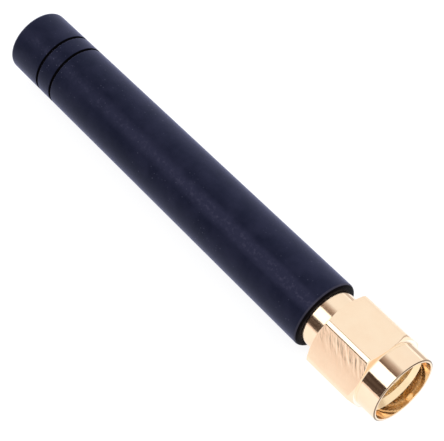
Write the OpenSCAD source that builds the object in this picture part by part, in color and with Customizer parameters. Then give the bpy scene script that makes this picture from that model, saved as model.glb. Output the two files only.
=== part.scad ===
// Stub antenna: a rubber sleeve over a wound radiator, on a threaded coaxial plug.
// The part lies along X: the plug's mouth faces +X, the closed tip of the sleeve faces -X.
// The origin is on the axis, in the plane where the plug's outer conductor meets its mate.
// Every sub-part is drawn standing, its own Z along that axis, and is laid over at the end.

/* [Sleeve] */
// Length of the rubber sleeve, from its open end to its tip
sleeve_length = 44.5; // [40:0.5:60]
// Diameter of the sleeve at its open end
sleeve_base_d = 7.5; // [7.3:0.05:9]
// Diameter of the sleeve at its tip
sleeve_tip_d = 6.9; // [6.5:0.05:8.5]
// Radius of the edge round the flat tip
tip_round = 0.45; // [0.2:0.05:1]
// Radius of the lip at the open end
lip_round = 0.4; // [0.2:0.05:0.5]
// Thickness of the rubber that closes the tip
tip_wall = 2.4; // [1.5:0.1:5]
// Diameter of the chamber that holds the radiator
chamber_d = 4.8; // [4.6:0.05:5]
// Distance from the tip to the first ring groove
first_groove = 4.5; // [3:0.1:10]
// Distance between the ring grooves
groove_pitch = 2.1; // [1:0.1:4]
// Number of ring grooves near the tip
groove_count = 2; // [1:1:4]
// Width of a ring groove
groove_width = 0.3; // [0.2:0.05:0.6]
// Depth of a ring groove
groove_depth = 0.25; // [0.15:0.05:0.5]

/* [Coupling nut] */
// Distance across the flats of the hexagon
across_flats = 8; // [7.9:0.1:10]
// Length of the hexagon
hex_length = 6.1; // [5.5:0.1:9]
// Depth turned off the hexagon's six corners
corner_cut = 0.12; // [0.05:0.01:0.2]
// Height of the turned chamfer at the hexagon's ends
hex_chamfer = 0.3; // [0.1:0.05:0.5]
// Diameter of the round nose in front of the hexagon
nose_d = 7.4; // [7.3:0.05:7.8]
// Length of the round nose
nose_length = 2.45; // [2.2:0.05:3.5]
// Bevel on the outer edge of the nose
nose_bevel = 0.15; // [0.05:0.05:0.25]
// Distance from the mating plane to the front of the nose
nut_reach = 3.2; // [3:0.1:4]
// Diameter of the plain mouth in front of the thread
mouth_d = 6.8; // [6.5:0.05:6.9]
// Depth of the plain mouth
mouth_depth = 1.2; // [0.5:0.1:1.4]
// Diameter over the crests of the inside thread
thread_d = 5.6; // [5.4:0.05:5.8]
// Length of the inside thread
thread_length = 3.2; // [2.5:0.1:3.5]

/* [Connector body] */
// Diameter of the smooth shank
shank_d = 6.2; // [5.9:0.05:6.4]
// Length of shank that shows between the nut and the sleeve
shank_show = 2; // [1:0.1:6]
// Length of shank under the lip of the sleeve
shank_cover = 1.5; // [1:0.1:3]
// Diameter of the outer conductor's tube
tube_d = 4.58; // [4.5:0.02:4.6]
// Length of the tube in front of the shank's shoulder
tube_length = 2.4; // [2.2:0.05:2.6]
// Diameter of the barbed spigot, in the valleys between its barbs
spigot_d = 4.7; // [4.6:0.05:4.75]
// Length of the barbed spigot
spigot_length = 6.5; // [5:0.1:9]
// Number of barbs on the spigot
barb_count = 4; // [2:1:5]
// Height of a barb
barb_height = 0.35; // [0.2:0.05:0.45]

/* [Retaining ring] */
// Thickness of the split ring along the axis
ring_thickness = 0.5; // [0.4:0.05:0.7]
// Inside diameter of the split ring
ring_inner_d = 5.5; // [5.4:0.05:5.7]
// Outside diameter of the split ring
ring_outer_d = 6.84; // [6.7:0.02:6.9]
// Width of the split
ring_gap = 1; // [0.5:0.1:2]
// Distance from the mating plane back to the middle of the ring
ring_depth = 3.7; // [3.6:0.1:4.2]

/* [Insulator] */
// Diameter of the insulator at the mating end
insulator_d = 4.1; // [4:0.05:4.2]
// Length of the insulator's wide end
insulator_front = 9.5; // [7:0.5:11]
// Diameter of the insulator inside the spigot
insulator_rear_d = 3; // [2.6:0.1:3.4]
// Length of insulator that stands out behind the spigot
insulator_tail = 0.6; // [0.3:0.1:1]
// Distance from the mating plane back to the insulator's face
insulator_recess = 0.05; // [0:0.05:0.2]

/* [Centre contact] */
// Diameter of the pin
pin_d = 0.92; // [0.9:0.01:0.94]
// Length of the pin in front of the mating plane
pin_length = 1.9; // [1.7:0.1:2.4]
// Diameter of the contact inside the insulator
contact_d = 1.27; // [1.2:0.01:1.35]
// Diameter of the collar that locks the contact in the insulator
collar_d = 1.9; // [1.6:0.1:2.2]
// Length of that collar
collar_length = 1; // [0.6:0.1:1.5]
// Distance from the mating plane back to the collar
collar_depth = 6; // [4:0.5:7]
// Outside diameter of the solder cup
cup_d = 1.5; // [1.4:0.05:1.7]
// Length of the solder cup behind the insulator
cup_length = 3; // [2.5:0.1:4]
// Thickness of metal left at the bottom of the cup
cup_floor = 0.5; // [0.3:0.1:1]

/* [Radiator] */
// Diameter of the wire
wire_d = 0.8; // [0.6:0.05:0.9]
// Outside diameter of the coil
coil_d = 4.5; // [4:0.05:4.5]
// Number of turns in the coil
coil_turns = 7; // [4:0.5:8]
// Length of straight wire between the cup and the coil
lead_length = 1.5; // [1:0.1:3]
// Length over which the wire swings out to the coil's radius
swing_length = 2; // [1.5:0.1:4]
// Gap between the end of the coil and the end of the chamber
coil_end_gap = 1; // [0.5:0.1:4]

/* [Hidden] */
$fn = 96;

// Clearances
running_gap = 0.08; // between the nut and what it turns on
seat_gap = 0.02; // between rubber and metal, and round the contact
cup_gap = 0.05; // between the wire and the bore of its cup
fill_step = 0.05; // how far the solder lies below the outside of the cup
overshoot = 1; // how far a cutting shape runs past what it cuts

// Places along the axis, counted from the mating plane
nose_front = nut_reach;
hex_front = nose_front - nose_length;
hex_rear = hex_front - hex_length;
sleeve_open = hex_rear - shank_show;
sleeve_tip = sleeve_open - sleeve_length;
shoulder_front = -tube_length;
shoulder_rear = sleeve_open - shank_cover;
spigot_rear = shoulder_rear - spigot_length;
insulator_step = -insulator_recess - insulator_front;
insulator_rear = spigot_rear - insulator_tail;
cup_rear = insulator_rear - cup_length;
cup_depth = cup_length - cup_floor;
cup_window = cup_length / 2;
chamber_end = sleeve_tip + tip_wall;
thread_front = nose_front - mouth_depth - (mouth_d - thread_d) / 2;
thread_rear = thread_front - thread_length;

// Radii that follow from more than one size
nut_bore_r = shank_d / 2 + running_gap;
nut_groove_r = ring_outer_d / 2 + running_gap;
body_groove_r = ring_inner_d / 2 - running_gap;
coil_r = (coil_d - wire_d) / 2;
hex_corner_r = across_flats / 2 / cos(30);
hex_turned_r = hex_corner_r - corner_cut;
chamfer_angle = 30; // of the hexagon's turned ends, from their faces
shoulder_bevel = 0.2; // on the front edge of the shank
tube_bevel = 0.08; // on the outer conductor's edges
mouth_bevel = 0.06; // on the inner edge of the nose

// Points along a circle's arc, in the plane of a profile
function arc(centre, r, from, to, steps = 8) =
  [for (i = [0:steps]) centre + r * [cos(from + (to - from) * i / steps), sin(from + (to - from) * i / steps)]];

// Radius of the sleeve's tapered outside at a place along the axis
function sleeve_r(z) =
  sleeve_tip_d / 2 + (sleeve_base_d - sleeve_tip_d) / 2 * (z - sleeve_tip) / sleeve_length;

// Outline of the barbed spigot from its front to its rear, grown outwards by a gap
barb_pitch = (spigot_length - 0.5) / barb_count;
function spigot_outline(grow) = [
  for (i = [0:barb_count - 1], side = [0, 1, 2])
    [spigot_d / 2 + grow + (side == 1 ? barb_height : 0),
     shoulder_rear - 0.5 - barb_pitch * (side == 2 ? i + 1 : i + 0.3)]];

module turned(points) {
  rotate_extrude() polygon(points);
}

module lay_over() {
  rotate([0, 90, 0]) children();
}

// The rubber sleeve, with its ring grooves and the hollow that follows the body and the coil
module sleeve_shell() {
  turned(concat(
    [[0, sleeve_tip]],
    arc([sleeve_tip_d / 2 - tip_round, sleeve_tip + tip_round], tip_round, -90, 0),
    arc([sleeve_base_d / 2 - lip_round, sleeve_open - lip_round], lip_round, 0, 90),
    [[0, sleeve_open]]));
}

module ring_groove(z) {
  bottom_r = groove_width / 2;
  rotate_extrude() {
    translate([sleeve_r(z) - groove_depth + bottom_r, z]) circle(bottom_r, $fn = 24);
    translate([sleeve_r(z) - groove_depth + bottom_r, z - bottom_r]) square([overshoot, groove_width]);
  }
}

module sleeve_hollow() {
  neck_r = shank_d / 2 + seat_gap;
  turned(concat(
    [[0, sleeve_open + overshoot], [neck_r, sleeve_open + overshoot], [neck_r, shoulder_rear - seat_gap]],
    [[spigot_d / 2 + seat_gap, shoulder_rear - seat_gap]],
    spigot_outline(seat_gap),
    [[chamber_d / 2, spigot_rear], [chamber_d / 2, chamber_end + chamber_d / 6]],
    [[chamber_d / 3, chamber_end], [0, chamber_end]]));
}

module antenna_sleeve() {
  color([0.13, 0.13, 0.19]) lay_over() difference() {
    sleeve_shell();
    sleeve_hollow();
    for (i = [0:groove_count - 1]) ring_groove(sleeve_tip + first_groove + i * groove_pitch);
  }
}

// The coupling nut: a hexagon with turned corners and ends, a round nose, and the stepped bore
module hexagon() {
  face_r = hex_turned_r - hex_chamfer / tan(chamfer_angle);
  intersection() {
    translate([0, 0, hex_rear]) rotate([0, 0, 30]) cylinder(h = hex_length, r = hex_corner_r, $fn = 6);
    turned([[0, hex_rear], [face_r, hex_rear], [hex_turned_r, hex_rear + hex_chamfer],
      [hex_turned_r, hex_front - hex_chamfer], [face_r, hex_front], [0, hex_front]]);
  }
}

module nose() {
  turned([[0, hex_front - overshoot], [nose_d / 2, hex_front - overshoot],
    [nose_d / 2, nose_front - nose_bevel], [nose_d / 2 - nose_bevel, nose_front], [0, nose_front]]);
}

module nut_bore() {
  lead_in = (mouth_d - thread_d) / 2;
  run_out = abs(nut_bore_r - thread_d / 2);
  turned([[0, nose_front + overshoot], [mouth_d / 2 + mouth_bevel + overshoot, nose_front + overshoot],
    [mouth_d / 2, nose_front - mouth_bevel], [mouth_d / 2, nose_front - mouth_depth],
    [thread_d / 2, nose_front - mouth_depth - lead_in], [thread_d / 2, thread_rear],
    [nut_bore_r, thread_rear - run_out],
    [nut_bore_r, hex_rear - overshoot], [0, hex_rear - overshoot]]);
}

module ring_channel(inner_r, outer_r) {
  width = ring_thickness + 2 * running_gap;
  translate([0, 0, -ring_depth - width / 2]) difference() {
    cylinder(h = width, r = outer_r);
    translate([0, 0, -overshoot]) cylinder(h = width + 2 * overshoot, r = inner_r);
  }
}

module coupling_nut() {
  color([0.95, 0.78, 0.56]) lay_over() difference() {
    union() {
      hexagon();
      nose();
    }
    nut_bore();
    ring_channel(body_groove_r, nut_groove_r);
  }
}

// The split ring that holds the nut on the body
module retaining_ring() {
  color([0.8, 0.62, 0.35]) lay_over() translate([0, 0, -ring_depth]) difference() {
    cylinder(h = ring_thickness, d = ring_outer_d, center = true);
    cylinder(h = ring_thickness + 2 * overshoot, d = ring_inner_d, center = true);
    translate([0, -ring_gap / 2, -ring_thickness]) cube([ring_outer_d, ring_gap, 2 * ring_thickness]);
  }
}

// The body: outer conductor in front, shank with the ring's groove, barbed spigot behind
module body_blank() {
  turned(concat(
    [[0, 0], [tube_d / 2 - tube_bevel, 0], [tube_d / 2, -tube_bevel]],
    [[tube_d / 2, shoulder_front], [shank_d / 2 - shoulder_bevel, shoulder_front]],
    [[shank_d / 2, shoulder_front - shoulder_bevel], [shank_d / 2, shoulder_rear]],
    [[spigot_d / 2, shoulder_rear]],
    spigot_outline(0),
    [[0, spigot_rear]]));
}

module body_bore() {
  turned([[0, overshoot], [insulator_d / 2, overshoot], [insulator_d / 2, insulator_step],
    [insulator_rear_d / 2, insulator_step], [insulator_rear_d / 2, spigot_rear - overshoot],
    [0, spigot_rear - overshoot]]);
}

module connector_body() {
  color([0.93, 0.76, 0.54]) lay_over() difference() {
    body_blank();
    body_bore();
    ring_channel(body_groove_r, shank_d / 2 + overshoot);
  }
}

// The insulator, stepped so that a mate can't push it back, with a recess for the contact's collar
module insulator() {
  collar_rear = -collar_depth - collar_length;
  color([0.95, 0.95, 0.92]) lay_over() difference() {
    turned([[0, -insulator_recess], [insulator_d / 2, -insulator_recess],
      [insulator_d / 2, insulator_step], [insulator_rear_d / 2, insulator_step],
      [insulator_rear_d / 2, insulator_rear], [0, insulator_rear]]);
    translate([0, 0, insulator_rear - overshoot])
      cylinder(h = -insulator_rear + 2 * overshoot, r = contact_d / 2 + seat_gap);
    translate([0, 0, collar_rear - seat_gap])
      cylinder(h = collar_length + 2 * seat_gap, r = collar_d / 2 + seat_gap);
  }
}

// The centre contact: pin in front, locking collar, solder cup with an open side behind
module contact_blank() {
  pin_nose = 0.25;
  turned([[0, pin_length], [pin_d / 2 - pin_nose, pin_length],
    [pin_d / 2 - pin_nose / 4, pin_length - pin_nose / 2], [pin_d / 2, pin_length - pin_nose],
    [pin_d / 2, 0], [contact_d / 2, -insulator_recess],
    [contact_d / 2, -collar_depth], [collar_d / 2, -collar_depth],
    [collar_d / 2, -collar_depth - collar_length], [contact_d / 2, -collar_depth - collar_length],
    [contact_d / 2, insulator_rear], [cup_d / 2, insulator_rear],
    [cup_d / 2, cup_rear], [0, cup_rear]]);
}

module centre_contact() {
  color([0.9, 0.7, 0.35]) lay_over() difference() {
    contact_blank();
    translate([0, 0, cup_rear - overshoot])
      cylinder(h = cup_depth + overshoot, r = wire_d / 2 + cup_gap);
    translate([0, -cup_d, cup_rear - overshoot]) cube([cup_d, 2 * cup_d, cup_window + overshoot]);
  }
}

// The solder: a fillet from the end of the cup to the wire, and the fill in the cup's open side
module solder_fillet() {
  fillet_r = (cup_d - wire_d) / 2;
  turned(concat(
    [[wire_d / 2, cup_rear], [cup_d / 2, cup_rear]],
    arc([cup_d / 2, cup_rear - fillet_r], fillet_r, 110, 180, 6),
    [[wire_d / 2, cup_rear - fillet_r]]));
}

module solder_fill() {
  intersection() {
    translate([0, 0, cup_rear]) difference() {
      cylinder(h = cup_window, d = cup_d - 2 * fill_step);
      translate([0, 0, -overshoot]) cylinder(h = cup_window + 2 * overshoot, d = wire_d);
    }
    translate([0, -cup_d, cup_rear]) cube([cup_d, 2 * cup_d, cup_window]);
  }
}

module solder_joint() {
  color([0.75, 0.76, 0.78]) lay_over() {
    solder_fillet();
    solder_fill();
  }
}

// The radiator: a straight lead in the cup, a swing outwards, and an open coil
wire_sides = 8;
steps_per_turn = 20;
lead_front = cup_rear + cup_depth - cup_gap;
lead_rear = cup_rear - lead_length;
coil_front = lead_rear - swing_length;
coil_rear = chamber_end + coil_end_gap + wire_d / 2;
coil_pitch = (coil_front - coil_rear) / coil_turns;
swing_turns = 0.5;
swing_steps = 10;
coil_steps = coil_turns * steps_per_turn;

// Each station is [radius, turn angle, place along the axis]
function ease(t) = t * t * (3 - 2 * t);
stations = concat(
  [[0, 0, lead_front]],
  [for (i = [0:swing_steps - 1]) let (t = i / swing_steps)
    [coil_r * ease(t), 360 * swing_turns * t * t, lead_rear - swing_length * t]],
  [for (i = [0:coil_steps]) let (t = i / coil_steps)
    [coil_r, 360 * (swing_turns + coil_turns * t), coil_front - coil_turns * coil_pitch * t]]);
last_station = len(stations) - 1;

function radial(s) = [cos(s[1]), sin(s[1]), 0];
function centre_line(s) = s[0] * radial(s) + [0, 0, s[2]];
function unit(v) = v / norm(v);
function heading(i) = unit(
  centre_line(stations[min(i + 1, last_station)]) - centre_line(stations[max(i - 1, 0)]));
function wire_ring(i) =
  let (along = heading(i), side = unit(cross(along, radial(stations[i]))), up = cross(side, along))
  [for (k = [0:wire_sides - 1])
    centre_line(stations[i]) + wire_d / 2 * (cos(360 * k / wire_sides) * up + sin(360 * k / wire_sides) * side)];

module helix_radiator() {
  points = [for (i = [0:last_station]) each wire_ring(i)];
  walls = [for (i = [0:last_station - 1], k = [0:wire_sides - 1])
    let (a = i * wire_sides + k, b = i * wire_sides + (k + 1) % wire_sides)
    each [[a, b + wire_sides, b], [a, a + wire_sides, b + wire_sides]]];
  front = [[for (k = [0:wire_sides - 1]) k]];
  rear = [[for (k = [0:wire_sides - 1]) last_station * wire_sides + wire_sides - 1 - k]];
  color([0.72, 0.45, 0.25]) lay_over() polyhedron(points, concat(front, walls, rear), convexity = 10);
}

antenna_sleeve();
coupling_nut();
retaining_ring();
connector_body();
insulator();
centre_contact();
solder_joint();
helix_radiator();
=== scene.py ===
"""Looks of a stub wifi antenna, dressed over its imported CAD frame.

The antenna lies along X: the plug's mouth faces +X and the closed tip of the rubber sleeve -X.
Every size is in millimetres. A mesh is built in millimetres and scaled to metres at its end.
"""

import logging
import math
from dataclasses import dataclass, field
from enum import Enum
from typing import Callable, Dict, List, Optional, Sequence, Tuple, Union

import bmesh
import bpy
from mathutils import Matrix, Vector


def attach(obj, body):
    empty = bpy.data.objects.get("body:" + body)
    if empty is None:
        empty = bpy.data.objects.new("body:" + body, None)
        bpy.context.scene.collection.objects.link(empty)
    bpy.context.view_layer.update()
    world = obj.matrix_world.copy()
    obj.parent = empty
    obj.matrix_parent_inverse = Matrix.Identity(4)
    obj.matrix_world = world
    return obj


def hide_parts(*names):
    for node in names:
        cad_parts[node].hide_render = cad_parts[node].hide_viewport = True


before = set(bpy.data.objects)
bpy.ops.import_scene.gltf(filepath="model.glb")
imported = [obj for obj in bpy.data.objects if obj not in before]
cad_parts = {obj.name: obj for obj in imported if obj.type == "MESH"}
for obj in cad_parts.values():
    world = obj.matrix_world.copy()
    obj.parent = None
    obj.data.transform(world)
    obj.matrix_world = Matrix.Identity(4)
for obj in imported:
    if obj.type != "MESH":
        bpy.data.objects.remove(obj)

LOG = logging.getLogger("antenna")
MM = 0.001

Colour = Tuple[float, float, float]
Socket = bpy.types.NodeSocket
Feed = Union[float, Colour, Socket]


class Body(Enum):
    """The bodies of the frame that a piece can ride on."""

    ANTENNA = "antenna"
    NUT = "nut"


class Lay(Enum):
    """Which way the marks of machining run on a metal surface."""

    TURNED = "turned"
    GROUND = "ground"


# --------------------------------------------------------------- node graphs


class Graph:
    """A material's node tree, with short calls for the nodes that the finishes share."""

    def __init__(self, name: str) -> None:
        """Makes an empty material.

        Args:
            name: The material's name.
        """
        self.material = bpy.data.materials.new(name)
        self.material.use_nodes = True
        self.tree = self.material.node_tree
        self.tree.nodes.clear()

    def add(self, kind: str, feeds: Optional[Dict[Union[str, int], Feed]] = None, **settings: object) -> bpy.types.Node:
        """Adds a node, sets its properties and feeds its inputs.

        Args:
            kind: The node's Blender type name.
            feeds: What goes into which input, a value or another node's output.
            **settings: Properties of the node.

        Returns:
            The new node.
        """
        node = self.tree.nodes.new(kind)
        for key, value in settings.items():
            setattr(node, key, value)
        for key, value in (feeds or {}).items():
            self.feed(node.inputs[key], value)
        return node

    def feed(self, socket: Socket, value: Feed) -> None:
        """Links a socket to an output, or sets its value.

        Args:
            socket: The input.
            value: A number, a colour or another node's output.
        """
        if isinstance(value, bpy.types.NodeSocket):
            self.tree.links.new(value, socket)
        elif isinstance(value, tuple) and len(value) == 3 and socket.type == "RGBA":
            socket.default_value = (*value, 1.0)
        else:
            socket.default_value = value

    def math(self, operation: str, first: Feed, second: Feed = 0.0, clamp: bool = False) -> Socket:
        """Adds a Math node.

        Args:
            operation: The node's operation.
            first: Its first input.
            second: Its second input.
            clamp: Whether the result is held between 0 and 1.

        Returns:
            The node's output.
        """
        return self.add("ShaderNodeMath", {0: first, 1: second}, operation=operation, use_clamp=clamp).outputs[0]

    def vector(self, x: Feed, y: Feed, z: Feed = 0.0) -> Socket:
        """Joins three numbers to a vector and returns its output."""
        return self.add("ShaderNodeCombineXYZ", {0: x, 1: y, 2: z}).outputs[0]

    def noise(self, where: Socket, scale: float, detail: float = 3.0, rough: float = 0.5) -> Socket:
        """Adds a noise pattern.

        Args:
            where: The coordinates that it reads.
            scale: How many of its grains lie on one unit of those coordinates.
            detail: How many finer layers it has.
            rough: How strong those layers are.

        Returns:
            The pattern's value, about 0.5 on the average.
        """
        feeds = {"Vector": where, "Scale": scale, "Detail": detail, "Roughness": rough}
        return self.add("ShaderNodeTexNoise", feeds).outputs["Fac"]

    def range(self, value: Socket, from_low: float, from_high: float, to_low: float, to_high: float) -> Socket:
        """Maps a value from one range to another, held at both ends.

        Args:
            value: The value.
            from_low: The value that gives to_low.
            from_high: The value that gives to_high.
            to_low: The lowest result.
            to_high: The highest result.

        Returns:
            The mapped value.
        """
        feeds = {"Value": value, "From Min": from_low, "From Max": from_high, "To Min": to_low, "To Max": to_high}
        return self.add("ShaderNodeMapRange", feeds, clamp=True).outputs["Result"]

    def blend(self, share: Feed, first: Feed, second: Feed) -> Socket:
        """Mixes two colours.

        Args:
            share: How much of the second colour shows.
            first: The first colour.
            second: The second colour.

        Returns:
            The mixed colour.
        """
        node = self.add("ShaderNodeMix", data_type="RGBA")
        self.feed(node.inputs["Factor"], share)
        self.feed(node.inputs[6], first)
        self.feed(node.inputs[7], second)
        return node.outputs[2]

    def bump(self, height: Socket, depth: float, strength: float = 1.0, under: Optional[Socket] = None) -> Socket:
        """Adds relief to the surface.

        Args:
            height: The pattern, 0 for low and 1 for high.
            depth: The height of the relief in millimetres.
            strength: How strongly it shows.
            under: The normal of relief that lies below this one.

        Returns:
            The new normal.
        """
        node = self.add("ShaderNodeBump", {"Height": height, "Distance": depth * MM, "Strength": strength})
        if under is not None:
            self.feed(node.inputs["Normal"], under)
        return node.outputs["Normal"]

    def shade(self, shader: Socket) -> bpy.types.Material:
        """Ends the tree in the material's output and returns the material."""
        self.add("ShaderNodeOutputMaterial", {"Surface": shader})
        return self.material


@dataclass(frozen=True)
class AxisPlaces:
    """Where a point lies on a part that is turned about X, in millimetres and as node outputs."""

    point: Socket
    along: Socket
    radius: Socket
    arc: Socket

    @classmethod
    def read(cls, graph: Graph) -> "AxisPlaces":
        """Adds the nodes that work out these places.

        Args:
            graph: The tree that they go into.

        Returns:
            The places.
        """
        source = graph.add("ShaderNodeTexCoord").outputs["Object"]
        point = graph.add("ShaderNodeMapping", {"Vector": source, "Scale": (1 / MM, 1 / MM, 1 / MM)}).outputs[0]
        parts = graph.add("ShaderNodeSeparateXYZ", {0: point})
        across, up = parts.outputs[1], parts.outputs[2]
        squares = graph.math("ADD", graph.math("MULTIPLY", across, across), graph.math("MULTIPLY", up, up))
        radius = graph.math("SQRT", squares)
        arc = graph.math("MULTIPLY", graph.math("ARCTAN2", across, up), radius)
        return cls(point, parts.outputs[0], radius, arc)


# ------------------------------------------------------------------ finishes


@dataclass(frozen=True)
class Finish:
    """A surface finish. Each kind builds its own node tree."""

    name: str

    def build(self) -> bpy.types.Material:
        """Makes the finish's material."""
        raise NotImplementedError


@dataclass(frozen=True)
class RubberFinish(Finish):
    """Satin black rubber with a blue cast, a fine moulded grain, specks of dust and a painted highlight: a paler,
    patchy streak along one upper side.
    """

    dark: Colour = (0.0044, 0.0058, 0.0172)
    # The pale colour serves both for random lighter tone and for the painted highlight streak, and the next colour for
    # the paler painted patches inside that streak.
    pale: Colour = (0.0180, 0.0188, 0.0410)
    painted_highlight: Colour = (0.037, 0.036, 0.066)
    dust: Colour = (0.10, 0.10, 0.15)
    specular_tint: Colour = (0.70, 0.76, 1.0)
    sheen_tint: Colour = (0.50, 0.55, 1.0)
    grain_depth: float = 0.006
    wave_depth: float = 0.02
    speck_spacing: float = 0.36
    speck_size: float = 0.070
    shine: float = 0.08
    fuzz: float = 0.42

    def build(self) -> bpy.types.Material:
        """Makes the rubber's material.

        Returns:
            The material.
        """
        graph = Graph(self.name)
        places = AxisPlaces.read(graph)
        clouds = graph.noise(places.point, 0.5, 4.0, 0.6)
        grain = graph.noise(places.point, 9.0, 3.0, 0.6)
        waves = graph.noise(places.point, 1.1, 2.0)
        # Paler towards the plug: a plain gradient along the axis.
        streak_and_plug_gradient = graph.range(places.along, -45.0, -12.0, 0.34, 1.3)
        # Painted highlight: a paler streak along the upper side, turned 30 degrees towards -Y, standing for a reflected
        # light strip; it grows paler towards the plug.
        turn = graph.math("DIVIDE", places.arc, places.radius)
        top = graph.range(graph.math("ABSOLUTE", graph.math("ADD", turn, math.radians(30))), 0.04, 0.28, 1.0, 0.0)
        streak_and_plug_gradient = graph.math("MULTIPLY", streak_and_plug_gradient, graph.math("ADD", graph.math("MULTIPLY", top, 0.95), 0.12))
        # The pale colour's share: random clouds of tone plus the painted highlight streak.
        share = graph.math("ADD", graph.range(clouds, 0.35, 0.65, 0.0, 0.45), streak_and_plug_gradient)
        colour = graph.blend(share, self.dark, self.pale)
        # Painted highlight: paler patches inside that streak.
        highlight_patches = graph.range(graph.noise(places.point, 2.2, 3.0, 0.65), 0.50, 0.68, 0.0, 0.8)
        colour = graph.blend(graph.math("MULTIPLY", graph.math("MULTIPLY", highlight_patches, top), streak_and_plug_gradient), colour, self.painted_highlight)
        colour = graph.blend(self._specks(graph, places), colour, self.dust)
        rough = graph.math("ADD", graph.range(clouds, 0.3, 0.7, 0.40, 0.46), graph.range(grain, 0.3, 0.7, 0.0, 0.06))
        relief = graph.bump(grain, self.grain_depth, 0.6, graph.bump(waves, self.wave_depth, 0.25))
        shader = graph.add("ShaderNodeBsdfPrincipled", {
            "Base Color": colour, "Roughness": rough, "Normal": relief, "Specular IOR Level": self.shine,
            "Specular Tint": self.specular_tint, "Sheen Weight": self.fuzz, "Sheen Roughness": 0.37,
            "Sheen Tint": self.sheen_tint})
        return graph.shade(shader.outputs[0])

    def _specks(self, graph: Graph, places: AxisPlaces) -> Socket:
        """Marks the few tiny places where dust lies.

        Args:
            graph: The tree.
            places: The coordinates.

        Returns:
            A mask, 1 on a speck.
        """
        cells = graph.add("ShaderNodeTexVoronoi", {"Vector": places.point, "Scale": 1 / self.speck_spacing})
        lot = graph.add("ShaderNodeSeparateColor", {0: cells.outputs["Color"]}).outputs[0]
        size = self.speck_size / self.speck_spacing
        near = graph.range(cells.outputs["Distance"], 0.4 * size, size, 1.0, 0.0)
        patches = graph.range(graph.noise(places.point, 0.22, 2.0), 0.48, 0.62, 0.0, 1.0)
        chosen = graph.math("MULTIPLY", graph.range(lot, 0.35, 0.9, 0.0, 0.6), patches)
        return graph.math("MULTIPLY", near, chosen)


@dataclass(frozen=True)
class GoldFinish(Finish):
    """Bright pale gold plate that shows the marks of the metal below it."""

    lay: Lay = Lay.TURNED
    tint: Colour = (0.995, 0.795, 0.585)
    shade_tint: Colour = (0.975, 0.745, 0.535)
    rough_low: float = 0.05
    rough_high: float = 0.10
    lines_per_mm: float = 26.0
    mark_depth: float = 0.0004
    chatter_depth: float = 0.048
    wave_depth: float = 0.004
    slant: float = 42.0

    def build(self) -> bpy.types.Material:
        """Makes the gold's material.

        Returns:
            The material.
        """
        graph = Graph(self.name)
        places = AxisPlaces.read(graph)
        clouds = graph.noise(places.point, 0.7, 3.0)
        lines = self._rings(graph, places) if self.lay is Lay.TURNED else self._strokes(graph, places)
        share = graph.range(clouds, 0.35, 0.7, 0.0, 0.6)
        colour = graph.blend(share, self.tint, self.shade_tint)
        waves = graph.noise(places.point, 1.8, 2.0)
        waviness = self.wave_depth if self.lay is Lay.TURNED else 0.3 * self.wave_depth
        relief = graph.bump(lines, self.mark_depth, 1.0, graph.bump(waves, waviness, 1.0))
        rough = graph.range(lines, 0.3, 0.7, self.rough_low, self.rough_high)
        if self.lay is Lay.GROUND:
            relief = graph.bump(self._chatter(graph, places), self.chatter_depth, 1.0, relief)
        shader = graph.add("ShaderNodeBsdfPrincipled", {
            "Base Color": colour, "Roughness": rough, "Normal": relief, "Metallic": 1.0})
        return graph.shade(shader.outputs[0])

    def _rings(self, graph: Graph, places: AxisPlaces) -> Socket:
        """Gives the fine rings that a turning tool leaves, round the axis on walls and faces alike.

        Args:
            graph: The tree.
            places: The coordinates.

        Returns:
            The rings' pattern.
        """
        drift = graph.math("MULTIPLY", graph.noise(places.point, 0.4, 1.0), 0.03)
        along = graph.math("ADD", places.along, drift)
        return graph.noise(graph.vector(along, places.radius), self.lines_per_mm, 2.0)

    def _strokes(self, graph: Graph, places: AxisPlaces) -> Socket:
        """Gives the straight slanted strokes of a ground face.

        Args:
            graph: The tree.
            places: The coordinates.

        Returns:
            The strokes' pattern.
        """
        across, with_lay = self._slanted(graph, places)
        return graph.noise(graph.vector(across, graph.math("MULTIPLY", with_lay, 0.05)), self.lines_per_mm, 2.0)

    def _chatter(self, graph: Graph, places: AxisPlaces) -> Socket:
        """Gives the chatter marks of the mill: slanted dents beside one corner of every second flat.

        Args:
            graph: The tree.
            places: The coordinates.

        Returns:
            The dents' height, lowest in a dent.
        """
        across, with_lay = self._slanted(graph, places)
        dents = graph.noise(graph.vector(across, graph.math("MULTIPLY", with_lay, 0.22)), 2.2, 2.0, 0.55)
        dents = graph.math("SUBTRACT", dents, 0.5)
        turn = graph.math("DIVIDE", places.arc, places.radius)
        sixth = graph.math("ADD", graph.math("MULTIPLY", turn, 3 / math.pi), 0.5)
        beside = graph.range(graph.math("FRACT", graph.math("ADD", sixth, 6.0)), 0.46, 0.85, 0.0, 1.0)
        every_second = graph.range(graph.math("SINE", graph.math("MULTIPLY", sixth, -math.pi)), 0.0, 0.1, 0.0, 1.0)
        off_corner = graph.range(graph.math("FRACT", graph.math("ADD", sixth, 6.0)), 0.88, 0.98, 1.0, 0.15)
        beside = graph.math("MULTIPLY", beside, off_corner)
        return graph.math("MULTIPLY", graph.math("MULTIPLY", dents, beside), every_second)

    def _slanted(self, graph: Graph, places: AxisPlaces) -> Tuple[Socket, Socket]:
        """Turns the coordinates on the surface by the slant of the strokes.

        Args:
            graph: The tree.
            places: The coordinates.

        Returns:
            The place across the strokes and the place along them.
        """
        cos, sin = math.cos(math.radians(self.slant)), math.sin(math.radians(self.slant))
        across = graph.math("ADD", graph.math("MULTIPLY", places.along, cos), graph.math("MULTIPLY", places.arc, sin))
        with_lay = graph.math("SUBTRACT", graph.math("MULTIPLY", places.arc, cos), graph.math("MULTIPLY", places.along, sin))
        return across, with_lay


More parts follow.
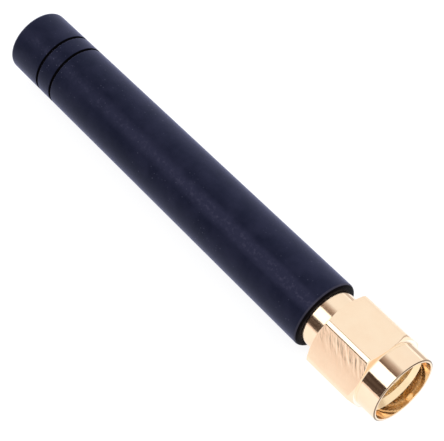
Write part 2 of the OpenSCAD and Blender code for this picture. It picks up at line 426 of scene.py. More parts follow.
@dataclass(frozen=True)
class MetalFinish(Finish):
    """A plain bare metal with soft blotches and fine relief."""

    light: Colour = (0.7, 0.7, 0.7)
    dark: Colour = (0.5, 0.5, 0.5)
    rough_low: float = 0.18
    rough_high: float = 0.32
    grain_per_mm: float = 6.0
    grain_depth: float = 0.004

    def build(self) -> bpy.types.Material:
        """Makes the metal's material.

        Returns:
            The material.
        """
        graph = Graph(self.name)
        places = AxisPlaces.read(graph)
        clouds = graph.noise(places.point, 1.3, 3.0)
        grain = graph.noise(places.point, self.grain_per_mm, 3.0)
        colour = graph.blend(graph.range(clouds, 0.35, 0.65, 0.0, 1.0), self.light, self.dark)
        shader = graph.add("ShaderNodeBsdfPrincipled", {
            "Base Color": colour, "Metallic": 1.0,
            "Roughness": graph.range(grain, 0.3, 0.7, self.rough_low, self.rough_high),
            "Normal": graph.bump(grain, self.grain_depth, 0.6)})
        return graph.shade(shader.outputs[0])


@dataclass(frozen=True)
class FluoroplasticFinish(Finish):
    """White, slightly waxy fluoroplastic with the rings of its turning."""

    light: Colour = (0.90, 0.90, 0.87)
    dark: Colour = (0.82, 0.82, 0.78)

    def build(self) -> bpy.types.Material:
        """Makes the plastic's material.

        Returns:
            The material.
        """
        graph = Graph(self.name)
        places = AxisPlaces.read(graph)
        clouds = graph.noise(places.point, 0.9, 3.0)
        rings = graph.noise(graph.vector(places.along, places.radius), 11.0, 2.0)
        colour = graph.blend(graph.range(clouds, 0.35, 0.65, 0.0, 1.0), self.light, self.dark)
        shader = graph.add("ShaderNodeBsdfPrincipled", {
            "Base Color": colour, "Roughness": graph.range(rings, 0.3, 0.7, 0.38, 0.5),
            "Normal": graph.bump(rings, 0.004, 0.5), "Subsurface Weight": 0.15,
            "Subsurface Radius": (0.0006, 0.0006, 0.0005), "Subsurface Scale": 1.0})
        return graph.shade(shader.outputs[0])


# -------------------------------------------------------------- turned forms


@dataclass(frozen=True)
class Corner:
    """A corner of a turned outline.

    Attributes:
        x: Its place along the axis.
        r: Its radius.
        trim: How far its rounding reaches along both sides, or 0 for a crisp corner.
        arc_steps: How many segments that rounding has.
        rows: How many extra rows lie between this corner and the next.
    """

    x: float
    r: float
    trim: float = 0.0
    arc_steps: int = 5
    rows: int = 0


@dataclass
class TurnedForm:
    """An outline that is spun once round X into a closed mesh."""

    outline: List[Corner]
    closed: bool = True
    steps: int = 192
    support: float = 1.7

    def build(self) -> bmesh.types.BMesh:
        """Draws the outline, rounds its corners and spins it.

        Returns:
            The mesh in millimetres, its seam and poles merged and its normals outwards.
        """
        bm = bmesh.new()
        corners = self._supported()
        verts = [bm.verts.new((c.x, 0.0, c.r)) for c in corners]
        ends = zip(verts, verts[1:] + verts[:1] if self.closed else verts[1:])
        edges = [bm.edges.new(pair) for pair in ends]
        for trim, arc_steps in sorted({(c.trim, c.arc_steps) for c in corners if c.trim > 0}):
            chosen = [v for v, c in zip(verts, corners) if (c.trim, c.arc_steps) == (trim, arc_steps)]
            bmesh.ops.bevel(bm, geom=chosen, offset=trim, offset_type="OFFSET", segments=arc_steps,
                            profile=0.5, affect="VERTICES", clamp_overlap=False, material=-1)
        for edge, corner in zip(edges, corners):
            if corner.rows:
                bmesh.ops.subdivide_edges(bm, edges=[edge], cuts=corner.rows)
        bmesh.ops.spin(bm, geom=bm.verts[:] + bm.edges[:], cent=(0, 0, 0), axis=(1, 0, 0), dvec=(0, 0, 0),
                       angle=math.tau, steps=self.steps, use_merge=True, use_normal_flip=False, use_duplicate=False)
        bmesh.ops.remove_doubles(bm, verts=bm.verts[:], dist=1e-4)
        bmesh.ops.recalc_face_normals(bm, faces=bm.faces[:])
        return bm

    def _supported(self) -> List[Corner]:
        """Adds a plain point on each side of a rounded corner, so that long walls shade straight.

        Returns:
            The outline with those points.
        """
        made: List[Corner] = []
        count = len(self.outline)
        for index, corner in enumerate(self.outline):
            before, after = self.outline[index - 1], self.outline[(index + 1) % count]
            if corner.trim > 0:
                made += self._support_point(corner, before)
                made.append(Corner(corner.x, corner.r, corner.trim, corner.arc_steps))
                made += self._support_point(corner, after)
            else:
                made.append(corner)
        return made

    def _support_point(self, corner: Corner, other: Corner) -> List[Corner]:
        """Finds the plain point beside a rounded corner.

        Args:
            corner: The rounded corner.
            other: The next corner on that side.

        Returns:
            The point in a list, or an empty list where the side is too short for it.
        """
        reach = self.support * corner.trim
        length = math.hypot(other.x - corner.x, other.r - corner.r)
        if length < reach + self.support * other.trim + 0.02:
            return []
        share = reach / length
        return [Corner(corner.x + share * (other.x - corner.x), corner.r + share * (other.r - corner.r))]


@dataclass
class Part:
    """A piece of the antenna that this script models anew, on one body and in place of one CAD node."""

    def place(self, bm: bmesh.types.BMesh, name: str, body: Body, node: str, slot: str,
              finishes: Sequence[Finish], sharp: float = 30.0) -> bpy.types.Object:
        """Turns a finished bmesh into the piece's object.

        Args:
            bm: The mesh in millimetres. It is freed.
            name: The piece's name.
            body: The body that it rides on.
            node: The CAD node that it stands for.
            slot: Not used.
            finishes: Its finishes, in the order of the faces' material numbers.
            sharp: The angle in degrees from which an edge stays crisp.

        Returns:
            The object, at the origin.
        """
        bmesh.ops.transform(bm, matrix=Matrix.Scale(MM, 4), verts=bm.verts[:])
        for face in bm.faces:
            face.smooth = True
        mesh = bpy.data.meshes.new(name)
        bm.to_mesh(mesh)
        bm.free()
        mesh.set_sharp_from_angle(angle=math.radians(sharp))
        for finish in finishes:
            mesh.materials.append(finish.build())
        piece = bpy.data.objects.new(name, mesh)
        bpy.context.scene.collection.objects.link(piece)
        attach(piece, body.value)
        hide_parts(node)
        LOG.info("%s: %d faces, in place of %s", name, len(mesh.polygons), node)
        return piece


# --------------------------------------------------------------- the antenna


@dataclass
class Plug(Part):
    """The plug's metal body: outer conductor, shank and barbed spigot."""

    tube_r: float = 2.29
    tube_bevel: float = 0.08
    bore_r: float = 2.05
    rear_bore_r: float = 1.5
    bore_step: float = -9.55
    shank_r: float = 3.1
    shank_front: float = -2.4
    shank_rear: float = -8.85
    shank_bevel: float = 0.2
    channel_r: float = 2.67
    channel_middle: float = -3.7
    channel_width: float = 0.66
    spigot_r: float = 2.35
    spigot_length: float = 6.5
    spigot_neck: float = 0.5
    barb_count: int = 4
    barb_height: float = 0.35
    barb_rise: float = 0.3

    @property
    def spigot_rear(self) -> float:
        """Place of the spigot's end."""
        return self.shank_rear - self.spigot_length

    def barbs(self, grow: float, edge: float) -> List[Corner]:
        """Gives the saw-tooth outline of the barbs.

        Args:
            grow: How far the outline stands outside the metal.
            edge: The rounding of each barb's crest.

        Returns:
            The outline, from the shank to the spigot's end.
        """
        pitch = (self.spigot_length - self.spigot_neck) / self.barb_count
        start = self.shank_rear - self.spigot_neck
        made: List[Corner] = []
        for index in range(self.barb_count):
            front = start - pitch * index
            made.append(Corner(front, self.spigot_r + grow))
            made.append(Corner(front - self.barb_rise * pitch, self.spigot_r + self.barb_height + grow, edge, 3))
        made.append(Corner(start - pitch * self.barb_count, self.spigot_r + grow))
        return made

    def build(self) -> bpy.types.Object:
        """Models and dresses the body.

        Returns:
            The piece.
        """
        half = self.channel_width / 2
        outline = [
            Corner(0.0, self.bore_r, 0.03, 2),
            Corner(0.0, self.tube_r, self.tube_bevel, 4),
            Corner(self.shank_front, self.tube_r, 0.05, 3),
            Corner(self.shank_front, self.shank_r, self.shank_bevel, 6),
            Corner(self.channel_middle + half, self.shank_r, 0.03, 2),
            Corner(self.channel_middle + half, self.channel_r, 0.03, 2),
            Corner(self.channel_middle - half, self.channel_r, 0.03, 2),
            Corner(self.channel_middle - half, self.shank_r, 0.03, 2),
            Corner(self.shank_rear, self.shank_r, 0.04, 3),
            Corner(self.shank_rear, self.spigot_r, 0.05, 3),
            *self.barbs(0.0, 0.03),
            Corner(self.spigot_rear, self.rear_bore_r, 0.03, 2),
            Corner(self.bore_step, self.rear_bore_r),
            Corner(self.bore_step, self.bore_r),
        ]
        bm = TurnedForm(outline, steps=240).build()
        return self.place(bm, "plug_body", Body.ANTENNA, "connector_body", "gold_body",
                          [GoldFinish("gold_turned_body", rough_low=0.11, rough_high=0.18)])


@dataclass
class Sleeve(Part):
    """The rubber sleeve: a tapered tube with a closed tip, two fine ring grooves and a round lip."""

    open_end: float = -7.35
    tip: float = -51.85
    base_r: float = 3.75
    tip_r: float = 3.45
    tip_round: float = 0.45
    lip_round: float = 0.4
    neck_r: float = 3.12
    gap: float = 0.02
    chamber_r: float = 2.4
    tip_wall: float = 2.4
    first_groove: float = 4.5
    groove_pitch: float = 2.1
    groove_count: int = 2
    groove_width: float = 0.3
    groove_depth: float = 0.25
    plug: Plug = field(default_factory=Plug)

    def radius(self, x: float) -> float:
        """Radius of the tapered outside at a place along the axis."""
        return self.tip_r + (self.base_r - self.tip_r) * (x - self.tip) / (self.open_end - self.tip)

    def _groove(self, middle: float) -> List[Corner]:
        """Gives the outline of one ring groove.

        Args:
            middle: Its place along the axis.

        Returns:
            The outline, from the tip's side to the plug's side.
        """
        left, right = middle - self.groove_width / 2, middle + self.groove_width / 2
        floor = self.radius(middle) - self.groove_depth
        bottom = 0.45 * self.groove_width
        return [Corner(left, self.radius(left), 0.05, 3), Corner(left, floor, bottom, 6),
                Corner(right, floor, bottom, 6), Corner(right, self.radius(right), 0.05, 3)]

    def _in_groove(self, point: Vector) -> bool:
        """Tells whether a point of the outside lies below the edge of a ring groove."""
        first = self.tip + self.first_groove
        near = min(abs(point.x - first - index * self.groove_pitch) for index in range(self.groove_count))
        return near < 0.55 * self.groove_width and math.hypot(point.y, point.z) > self.tip_r - 2 * self.groove_depth

    def build(self) -> bpy.types.Object:
        """Models and dresses the sleeve.

        Returns:
            The piece.
        """
        floor = self.tip + self.tip_wall
        outline = [Corner(self.tip, 0.0), Corner(self.tip, self.tip_r, self.tip_round, 10)]
        for index in range(self.groove_count):
            outline += self._groove(self.tip + self.first_groove + index * self.groove_pitch)
        outline += [
            Corner(self.open_end, self.base_r, self.lip_round, 10),
            Corner(self.open_end, self.neck_r, 0.04, 3),
            Corner(self.plug.shank_rear - self.gap, self.neck_r),
            Corner(self.plug.shank_rear - self.gap, self.plug.spigot_r + self.gap),
            *self.plug.barbs(self.gap, 0.03),
            Corner(self.plug.spigot_rear, self.chamber_r),
            Corner(floor + self.chamber_r / 3, self.chamber_r),
            Corner(floor, self.chamber_r * 2 / 3),
            Corner(floor, 0.0),
        ]
        bm = TurnedForm(outline, closed=False, steps=192).build()
        bm.normal_update()
        # Ring grooves and the lip's end face get near-black rubber, a painted shade; the lip's rounding gets paler
        # rubber, a painted highlight.
        for face in bm.faces:
            middle = face.calc_center_median()
            at_end = middle.x > self.open_end - self.lip_round
            if self._in_groove(middle) or (at_end and face.normal.x > 0.6):
                face.material_index = 1
            elif at_end and face.normal.x > 0.12:
                face.material_index = 2
        # Painted shade: near-black rubber for the grooves and the lip's end face.
        painted_shade_black = RubberFinish("sleeve_cut_end", dark=(0.0026, 0.0020, 0.0022), pale=(0.0040, 0.0030, 0.0032),
                               painted_highlight=(0.006, 0.005, 0.005), dust=(0.02, 0.02, 0.02), shine=0.02, fuzz=0.04)
        # Painted highlight: paler rubber on the outer part of the lip's rounding.
        painted_lip_highlight = RubberFinish("sleeve_rubbed_edge", dark=(0.028, 0.027, 0.042), pale=(0.042, 0.040, 0.060),
                                   fuzz=0.2)
        return self.place(bm, "rubber_sleeve", Body.ANTENNA, "antenna_sleeve", "sleeve_rubber",
                          [RubberFinish("sleeve_rubber"), painted_shade_black, painted_lip_highlight], sharp=40.0)


@dataclass
class CouplingNut(Part):
    """The free-turning nut: hexagon with turned corners and ends, round nose, inside thread."""

    flat_r: float = 4.0
    corner_cut: float = 0.12
    corner_ease: float = 0.03
    hex_front: float = 0.75
    hex_rear: float = -5.35
    hex_chamfer: float = 0.3
    chamfer_angle: float = 30.0
    nose_r: float = 3.7
    nose_front: float = 3.2
    nose_bevel: float = 0.15
    nose_bevel_length: float = 0.08
    mouth_r: float = 3.4
    mouth_end: float = 2.0
    mouth_bevel: float = 0.06
    crest_r: float = 2.8
    root_r: float = 3.18
    thread_front: float = 1.4
    thread_rear: float = -1.8
    thread_pitch: float = 0.7056
    bore_r: float = 3.18
    channel_r: float = 3.5
    channel_middle: float = -3.7
    channel_width: float = 0.66
    strip_spokes: int = 3
    ease_spokes: int = 5
    flat_spokes: int = 18

    @property
    def corner_r(self) -> float:
        """Radius to which the six corners are turned down."""
        return self.flat_r / math.cos(math.radians(30)) - self.corner_cut

    @property
    def face_r(self) -> float:
        """Radius at which the turned chamfer meets the end faces."""
        return self.corner_r - self.hex_chamfer / math.tan(math.radians(self.chamfer_angle))

    def build(self) -> bpy.types.Object:
        """Models and dresses the nut.

        Returns:
            The piece.
        """
        spokes = self._spoke_angles()
        bm = TurnedForm(self._outline(), steps=len(spokes)).build()
        self._spread_spokes(bm, spokes)
        self._press_hexagon(bm)
        self._cut_thread(bm)
        bm.normal_update()
        for face in bm.faces:
            middle = face.calc_center_median()
            reach = math.hypot(middle.y, middle.z)
            wall = abs(face.normal.x) < 0.25 and reach > self.nose_r + 0.15
            front_edge = middle.x > self.nose_front - self.nose_bevel_length and reach > self.nose_r - self.nose_bevel
            front_ring = abs(middle.x - self.hex_front) < 0.02 and face.normal.x > 0.95 and reach > self.nose_r
            if wall:
                face.material_index = 1
            # Painted shade: the bore and thread get a deeper amber gold than the outside, which darkens the inside of
            # the mouth.
            elif reach < self.mouth_r - 0.01:
                face.material_index = 2
            # Painted reflection: the nose's front bevel gets a dark brown gold that draws a dark line.
            elif front_edge:
                face.material_index = 3
            # Painted light: the hexagon's front ring gets a paler gold that offsets the darker bounce light from the
            # nose.
            elif front_ring:
                face.material_index = 4
        return self.place(bm, "hexagon_nut", Body.NUT, "coupling_nut", "gold_nut",
                          [GoldFinish("gold_turned_nut"),
                           GoldFinish("gold_ground_nut", lay=Lay.GROUND, rough_low=0.11, rough_high=0.17),
                           # Painted shade: deeper amber gold for the inside of the mouth.
                           GoldFinish("gold_thread", tint=(0.985, 0.78, 0.50), shade_tint=(0.965, 0.73, 0.44),
                                      rough_low=0.16, rough_high=0.24),
                           # Painted reflection: dark brown gold for the nose's front bevel.
                           GoldFinish("gold_painted_dark_edge", tint=(0.25, 0.18, 0.12), shade_tint=(0.21, 0.15, 0.10)),
                           # Painted light: paler gold for the hexagon's front ring.
                           GoldFinish("gold_painted_pale_ring", tint=(1.0, 0.96, 0.87), shade_tint=(1.0, 0.94, 0.84))],
                          sharp=35.0)

    def _outline(self) -> List[Corner]:
        """Gives the nut's outline as if the hexagon were round.

        Returns:
            The closed outline, outside first.
        """
        half = self.channel_width / 2
        run_out = self.bore_r - self.crest_r
        return [
            Corner(self.nose_front, self.nose_r - self.nose_bevel, 0.03, 3),
            Corner(self.nose_front - self.nose_bevel_length, self.nose_r, 0.03, 3),
            Corner(self.hex_front, self.nose_r, 0.04, 3),
            Corner(self.hex_front, self.face_r),
            Corner(self.hex_front - self.hex_chamfer, self.corner_r, 0.04, 3),
            Corner(self.hex_rear + self.hex_chamfer, self.corner_r, 0.04, 3),
            Corner(self.hex_rear, self.face_r),
            Corner(self.hex_rear, self.bore_r, 0.05, 3),
            Corner(self.channel_middle - half, self.bore_r),
            Corner(self.channel_middle - half, self.channel_r),
            Corner(self.channel_middle + half, self.channel_r),
            Corner(self.channel_middle + half, self.bore_r),
            Corner(self.thread_rear - run_out, self.bore_r, rows=12),
            Corner(self.thread_rear, self.crest_r, rows=92),
            Corner(self.thread_front, self.crest_r, rows=20),
            Corner(self.mouth_end, self.mouth_r, 0.0),
            Corner(self.nose_front, self.mouth_r, self.mouth_bevel, 3),
        ]

    def _spoke_angles(self) -> List[float]:
        """Spaces the spokes so that some of them lie on the edges of the six turned corners.

        Returns:
            The spokes' angles from +Z, in radians, from the first flat's middle on.
        """
        strip = math.radians(30) - math.acos(self.flat_r / self.corner_r)
        ease = math.radians(0.9)
        half: List[float] = [strip * 0.55 * i / self.strip_spokes for i in range(self.strip_spokes + 1)]
        half += [strip + ease * (2 * i / (self.ease_spokes - 1) - 1) for i in range(self.ease_spokes)]
        rest = math.radians(30) - half[-1]
        half += [half[-1] + rest * (i + 1) / self.flat_spokes for i in range(self.flat_spokes)]
        sector = [math.radians(30) - a for a in reversed(half)] + [math.radians(30) + a for a in half[1:-1]]
        return [math.radians(60) * side + a for side in range(6) for a in sector]

    def _spread_spokes(self, bm: bmesh.types.BMesh, spokes: Sequence[float]) -> None:
        """Turns every spoke of the evenly spun mesh to its own angle.

        Args:
            bm: The mesh.
            spokes: The wanted angles.
        """
        step = math.tau / len(spokes)
        groups: Dict[int, List[bmesh.types.BMVert]] = {}
        for vert in bm.verts:
            groups.setdefault(round(math.atan2(vert.co.y, vert.co.z) / step) % len(spokes), []).append(vert)
        for index, verts in groups.items():
            turn = Matrix.Rotation(index * step - spokes[index], 3, "X")
            bmesh.ops.rotate(bm, cent=(0, 0, 0), matrix=turn, verts=verts)

    def _hex_radius(self, angle: float) -> float:
        """Radius of the hexagon's outside, its corners turned down and the meeting edges eased.

        Args:
            angle: The angle from +Z, in radians.

        Returns:
            The radius.
        """
        sixth = math.radians(60)
        off = (angle + sixth / 2) % sixth - sixth / 2
        flat, turned = self.flat_r / math.cos(off), self.corner_r
        near = max(self.corner_ease - abs(flat - turned), 0.0) / self.corner_ease
        return min(flat, turned) - near * near * self.corner_ease / 4

    def _press_hexagon(self, bm: bmesh.types.BMesh) -> None:
        """Draws the round outside in to the six flats, and lets the end chamfers follow.

        Args:
            bm: The mesh.
        """
        slope = math.tan(math.radians(self.chamfer_angle))
        middle = (self.hex_front + self.hex_rear) / 2
        for vert in bm.verts:
            radius = math.hypot(vert.co.y, vert.co.z)
            if radius < self.face_r + 1e-4 or vert.co.x > self.hex_front + 1e-4:
                continue
            share = (radius - self.face_r) / (self.corner_r - self.face_r)
            wanted = self.face_r + share * (self._hex_radius(math.atan2(vert.co.y, vert.co.z)) - self.face_r)
            shift = (radius - wanted) * slope * (1 if vert.co.x > middle else -1)
            vert.co = Vector((vert.co.x + shift, vert.co.y * wanted / radius, vert.co.z * wanted / radius))

    def _thread_radius(self, x: float, angle: float) -> float:
        """Radius of the inside thread before its ends are coned.

        Args:
            x: The place along the axis.
            angle: The angle from +Y towards +Z, in radians.

        Returns:
            The radius, largest in the root.
        """
        turn = (x / self.thread_pitch - angle / math.tau) % 1.0
        off = min(turn, 1.0 - turn)
        share = min(max((off - 1 / 16) / (5 / 16), 0.0), 1.0)
        return self.root_r + (self.crest_r - self.root_r) * share

    def _cut_thread(self, bm: bmesh.types.BMesh) -> None:
        """Moves the rows of the bore out into a right-handed thread.

        Args:
            bm: The mesh.
        """
        rear = self.thread_rear - (self.bore_r - self.crest_r)
        for vert in bm.verts:
            radius = math.hypot(vert.co.y, vert.co.z)
            if radius > self.mouth_r - 1e-4 or not rear + 1e-4 < vert.co.x < self.mouth_end - 1e-4:
                continue
            wanted = max(radius, self._thread_radius(vert.co.x, math.atan2(vert.co.z, vert.co.y)))
            vert.co = Vector((vert.co.x, vert.co.y * wanted / radius, vert.co.z * wanted / radius))


@dataclass
class CoreParts:
    """The nodes that the CAD model already shows well. They keep their meshes and get finishes."""

    finishes: Dict[str, Finish] = field(default_factory=lambda: {
        "retaining_ring": MetalFinish("spring_bronze", light=(0.80, 0.56, 0.32), dark=(0.66, 0.43, 0.23)),
        "insulator": FluoroplasticFinish("white_fluoroplastic"),
        "centre_contact": GoldFinish("gold_contact", tint=(0.96, 0.74, 0.42), shade_tint=(0.91, 0.66, 0.35)),
        "solder_joint": MetalFinish("solder", light=(0.74, 0.75, 0.77), dark=(0.60, 0.61, 0.63),
                                    grain_per_mm=3.0, grain_depth=0.02),
        "helix_radiator": MetalFinish("coppered_wire", light=(0.88, 0.50, 0.30), dark=(0.72, 0.36, 0.20)),
    })

    def dress(self) -> None:
        """Gives each node its finish."""
        for name, finish in self.finishes.items():
            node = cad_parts[name]
            node.data.materials.clear()
            node.data.materials.append(finish.build())
            LOG.info("%s: CAD mesh with %s", name, finish.name)


# ----------------------------------------------------------------- the studio


@dataclass(frozen=True)
class PhotoCamera:
    """The photograph's camera, as fitted to the antenna's axis.

    Attributes:
        lens: Focal length on a sensor of the given width.
        sensor: Width of the sensor.
        lift: Angle above the floor of the line from the axis to the camera, seen along the axis.
        swing: How far the camera stands towards the plug, in degrees off that line.
        roll: Slope of the axis in the picture, in degrees.
        aim_x: The point of the axis that the next value places.
        aim: Where that point lies from the camera: to the right, down and ahead.
    """

    lens: float = 159.4
    sensor: float = 36.0
    lift: float = 63.32
    swing: float = 26.28
    roll: float = 43.88
    aim_x: float = -19.97
    aim: Tuple[float, float, float] = (1.54, 1.11, 188.9)

    def build(self) -> bpy.types.Object:
        """Makes the camera and gives it to the scene.

        Returns:
            The camera.
        """
        lift, swing, roll = (math.radians(a) for a in (self.lift, self.swing, self.roll))
        along = Vector((1, 0, 0))
        aside = Vector((0, math.sin(lift), math.cos(lift)))
        near = Vector((0, -math.cos(lift), math.sin(lift)))
        seen = (
            (along, (math.cos(swing) * math.cos(roll), math.cos(swing) * math.sin(roll), -math.sin(swing))),
            (aside, (math.sin(roll), -math.cos(roll), 0.0)),
            (near, (-math.sin(swing) * math.cos(roll), -math.sin(swing) * math.sin(roll), -math.cos(swing))),
        )
        right, down, ahead = (sum((axis * view[k] for axis, view in seen), Vector()) for k in range(3))
        place = Vector((self.aim_x, 0, 0)) - right * self.aim[0] - down * self.aim[1] - ahead * self.aim[2]
        data = bpy.data.cameras.new("photo_camera")
        data.lens, data.sensor_width, data.sensor_fit = self.lens, self.sensor, "AUTO"
        data.clip_start, data.clip_end = 0.005, 20.0
        camera = bpy.data.objects.new("photo_camera", data)
        turn = Matrix((right, -down, -ahead)).transposed().to_4x4()
        camera.matrix_world = Matrix.Translation(place * MM) @ turn
        bpy.context.scene.collection.objects.link(camera)
        bpy.context.scene.camera = camera
        return camera


@dataclass(frozen=True)
class Card:
    """A small upright card that only reflections show.

    Attributes:
        name: Its name.
        colour: What it gives back.
        width: Its size along the floor.
        height: Its size upwards.
        middle: Its middle.
        turn: How far it is turned from the antenna's line, in degrees.
    """

    name: str
    colour: Colour
    width: float
    height: float
    middle: Tuple[float, float, float]
    turn: float = 0.0


@dataclass
class Studio:
    """The pale floor, the soft light and the cards that polished metal mirrors."""

    floor_height: float = -4.0
    floor_size: float = 6000.0
    card_radius: float = 400.0
    card_length: float = 2000.0
    card_low: float = 63.0
    card_high: float = 116.0
    plain_from: float = 150.0
    plain_to: float = 260.0
    card_gain: float = 1.8
    cards: Tuple[Card, ...] = (
        Card("card_bounce", (0.97, 0.84, 0.80), 120.0, 6.4, (-30.0, -62.0, -0.8)),
        Card("card_behind", (0.66, 0.60, 0.57), 120.0, 5.2, (-30.0, 14.0, -1.4)),
        Card("card_beside_plug", (0.040, 0.030, 0.024), 9.0, 4.6, (20.0, 18.0, -1.7), 90.0),
    )
    camera: PhotoCamera = field(default_factory=PhotoCamera)

    def build(self) -> None:
        """Makes the whole studio."""
        self._world()
        self._floor()
        self._tent()
        for card in self.cards:
            self._stand(card)
        self._lamp("key_lamp", (-250.0, -450.0, 800.0), 500.0, 2.2)
        self._lamp("fill_lamp", (350.0, 500.0, 600.0), 600.0, 1.0)
        self._lamp("rim_lamp", (-150.0, 900.0, 130.0), 500.0, 8.0)
        self.camera.build()
        bpy.context.scene.view_settings.view_transform = "Standard"
        LOG.info("studio: floor, cards, lamps and camera")

    def _shown_rays(self, graph: Graph) -> Socket:
        """Tells the rays that show the background from those that light the object.

        Args:
            graph: The tree.

        Returns:
            1 for a camera, glossy or transmission ray, else 0.
        """
        paths = graph.add("ShaderNodeLightPath")
        rays = [paths.outputs[name] for name in ("Is Camera Ray", "Is Glossy Ray", "Is Transmission Ray")]
        return graph.math("MAXIMUM", graph.math("MAXIMUM", rays[0], rays[1]), rays[2])

    def _world(self) -> None:
        """Lights the scene evenly, and shows white behind it."""
        world = bpy.data.worlds.new("studio")
        world.use_nodes = True
        graph = Graph.__new__(Graph)
        graph.material, graph.tree = None, world.node_tree
        graph.tree.nodes.clear()
        strength = graph.range(self._shown_rays(graph), 0.0, 1.0, 0.78, 1.0)
        background = graph.add("ShaderNodeBackground", {"Color": (1.0, 1.0, 1.0), "Strength": strength})
        graph.add("ShaderNodeOutputWorld", {"Surface": background.outputs[0]})
        bpy.context.scene.world = world

    def _stage_object(self, bm: bmesh.types.BMesh, name: str, material: bpy.types.Material) -> bpy.types.Object:
        """Turns a bmesh in millimetres into an object of the stage.

        Args:
            bm: The mesh. It is freed.
            name: The object's name.
            material: Its material.

        Returns:
            The object.
        """
        bmesh.ops.transform(bm, matrix=Matrix.Scale(MM, 4), verts=bm.verts[:])
        mesh = bpy.data.meshes.new(name)
        bm.to_mesh(mesh)
        bm.free()
        mesh.materials.append(material)
        made = bpy.data.objects.new(name, mesh)
        bpy.context.scene.collection.objects.link(made)
        return made

    def _floor(self) -> None:
        """Lays the pale floor, lifted to white where it is seen and not shaded."""
        bm = bmesh.new()
        bmesh.ops.create_grid(bm, x_segments=8, y_segments=8, size=self.floor_size / 2)
        bmesh.ops.translate(bm, vec=(0, 0, self.floor_height), verts=bm.verts[:])
        graph = Graph("pale_floor")
        plain = graph.add("ShaderNodeBsdfDiffuse", {"Color": (0.80, 0.80, 0.80)})
        seen = graph.add("ShaderNodeBsdfDiffuse", {"Color": (0.24, 0.24, 0.25)})
        lift = graph.add("ShaderNodeEmission", {"Color": (1.0, 1.0, 1.0), "Strength": 0.85})
        both = graph.add("ShaderNodeAddShader", {0: seen.outputs[0], 1: lift.outputs[0]})
        mix = graph.add("ShaderNodeMixShader", {0: self._shown_rays(graph), 1: plain.outputs[0], 2: both.outputs[0]})
        material = graph.shade(mix.outputs[0])
        material.cycles.emission_sampling = "NONE"
        self._stage_object(bm, "floor", material)

    def _mirrored_only(self, card: bpy.types.Object) -> None:
        """Lets a card show in reflections only, so that it casts neither light nor shadow."""
        card.visible_camera = card.visible_diffuse = card.visible_shadow = False
        card.visible_transmission = card.visible_volume_scatter = False

    def _tent(self) -> None:
        """Hangs the curved card over the antenna: a bright strip between dark ones, and a plain far end."""
        bm = bmesh.new()
        start = math.radians(90 - self.camera.lift + self.card_low)
        ends = [bm.verts.new((side * self.card_length / 2, -self.card_radius * math.sin(start),
                              self.card_radius * math.cos(start))) for side in (-1, 1)]
        bm.edges.new(ends)
        bmesh.ops.spin(bm, geom=bm.verts[:] + bm.edges[:], cent=(0, 0, 0), axis=(1, 0, 0), dvec=(0, 0, 0),
                       angle=-math.radians(self.card_low + self.card_high), steps=90, use_merge=False,
                       use_normal_flip=False, use_duplicate=False)
        graph = Graph("card_tent")
        source = graph.add("ShaderNodeTexCoord").outputs["Object"]
        parts = graph.add("ShaderNodeSeparateXYZ", {0: source})
        angle = graph.math("ARCTAN2", parts.outputs[1], parts.outputs[2])
        degrees = graph.math("ADD", graph.math("MULTIPLY", angle, 180 / math.pi), 90 - self.camera.lift)
        ramp = graph.add("ShaderNodeValToRGB", {0: graph.range(degrees, -self.card_low, self.card_high, 0.0, 1.0)})
        self._fill_ramp(ramp.color_ramp)
        far = graph.range(parts.outputs[0], self.plain_from * MM, self.plain_to * MM, 0.0, 1.0)
        plain = 1.0 / self.card_gain
        colour = graph.blend(far, ramp.outputs[0], (plain, plain, plain))
        lamp = graph.add("ShaderNodeEmission", {"Color": colour, "Strength": self.card_gain})
        material = graph.shade(lamp.outputs[0])
        material.cycles.emission_sampling = "NONE"
        self._mirrored_only(self._stage_object(bm, "card_tent", material))

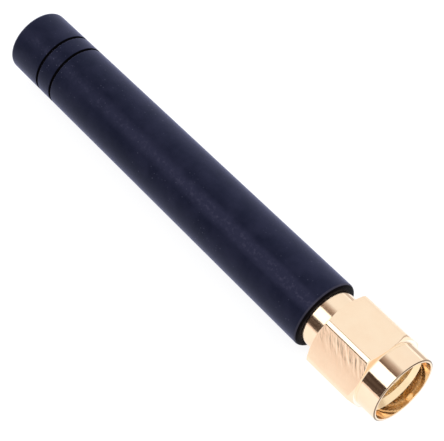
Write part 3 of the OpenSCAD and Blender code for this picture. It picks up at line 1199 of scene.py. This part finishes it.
    def _fill_ramp(self, ramp: bpy.types.ColorRamp) -> None:
        """Sets the tent's stripes.

        Args:
            ramp: The ramp over the tent's sweep, in degrees from the line to the camera.
        """
        plain, bright = (1.0, 1.0, 1.0), (1.8, 1.8, 1.8)
        dark, dim = (0.068, 0.046, 0.039), (0.110, 0.080, 0.068)
        stripes = [(-63.0, dark), (-57.0, dim), (-50.0, dark), (-42.0, dim), (-34.0, dark), (-28.0, dark),
                   (-25.0, bright), (11.5, bright), (13.5, (0.15, 0.10, 0.08)), (21.0, (0.29, 0.22, 0.18)),
                   (31.0, (0.52, 0.43, 0.39)), (44.0, plain), (116.0, (0.97, 0.96, 0.95))]
        for index, (degrees, colour) in enumerate(stripes):
            place = (degrees + self.card_low) / (self.card_low + self.card_high)
            stop = ramp.elements[index] if index < 2 else ramp.elements.new(place)
            stop.position = place
            stop.color = (*(c / self.card_gain for c in colour), 1.0)

    def _stand(self, card: Card) -> None:
        """Stands a small card beside the antenna.

        Args:
            card: The card.
        """
        bm = bmesh.new()
        bmesh.ops.create_grid(bm, x_segments=4, y_segments=2, size=0.5)
        bmesh.ops.scale(bm, vec=(card.width, card.height, 1.0), verts=bm.verts[:])
        bmesh.ops.rotate(bm, cent=(0, 0, 0), matrix=Matrix.Rotation(math.radians(90), 3, "X"), verts=bm.verts[:])
        bmesh.ops.rotate(bm, cent=(0, 0, 0), matrix=Matrix.Rotation(math.radians(card.turn), 3, "Z"),
                         verts=bm.verts[:])
        bmesh.ops.translate(bm, vec=card.middle, verts=bm.verts[:])
        graph = Graph(card.name)
        lamp = graph.add("ShaderNodeEmission", {"Color": card.colour, "Strength": 1.0})
        material = graph.shade(lamp.outputs[0])
        material.cycles.emission_sampling = "NONE"
        self._mirrored_only(self._stage_object(bm, card.name, material))

    def _lamp(self, name: str, place: Tuple[float, float, float], size: float, power: float) -> None:
        """Hangs a soft lamp that lights the object without showing in its metal.

        Args:
            name: The lamp's name.
            place: Where it hangs.
            size: The side of its square face.
            power: Its power in watts.
        """
        data = bpy.data.lights.new(name, "AREA")
        data.shape, data.size, data.energy = "SQUARE", size * MM, power
        lamp = bpy.data.objects.new(name, data)
        where = Vector(place) * MM
        lamp.matrix_world = Matrix.Translation(where) @ where.to_track_quat("Z", "Y").to_matrix().to_4x4()
        lamp.visible_glossy = False
        bpy.context.scene.collection.objects.link(lamp)


def main() -> None:
    """Builds the pieces and the studio in order."""
    logging.basicConfig(level=logging.INFO, format="%(name)s: %(message)s")
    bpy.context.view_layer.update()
    plug = Plug()
    plug.build()
    Sleeve(plug=plug).build()
    CouplingNut().build()
    CoreParts().dress()
    Studio().build()


if __name__ == "__main__":
    main()
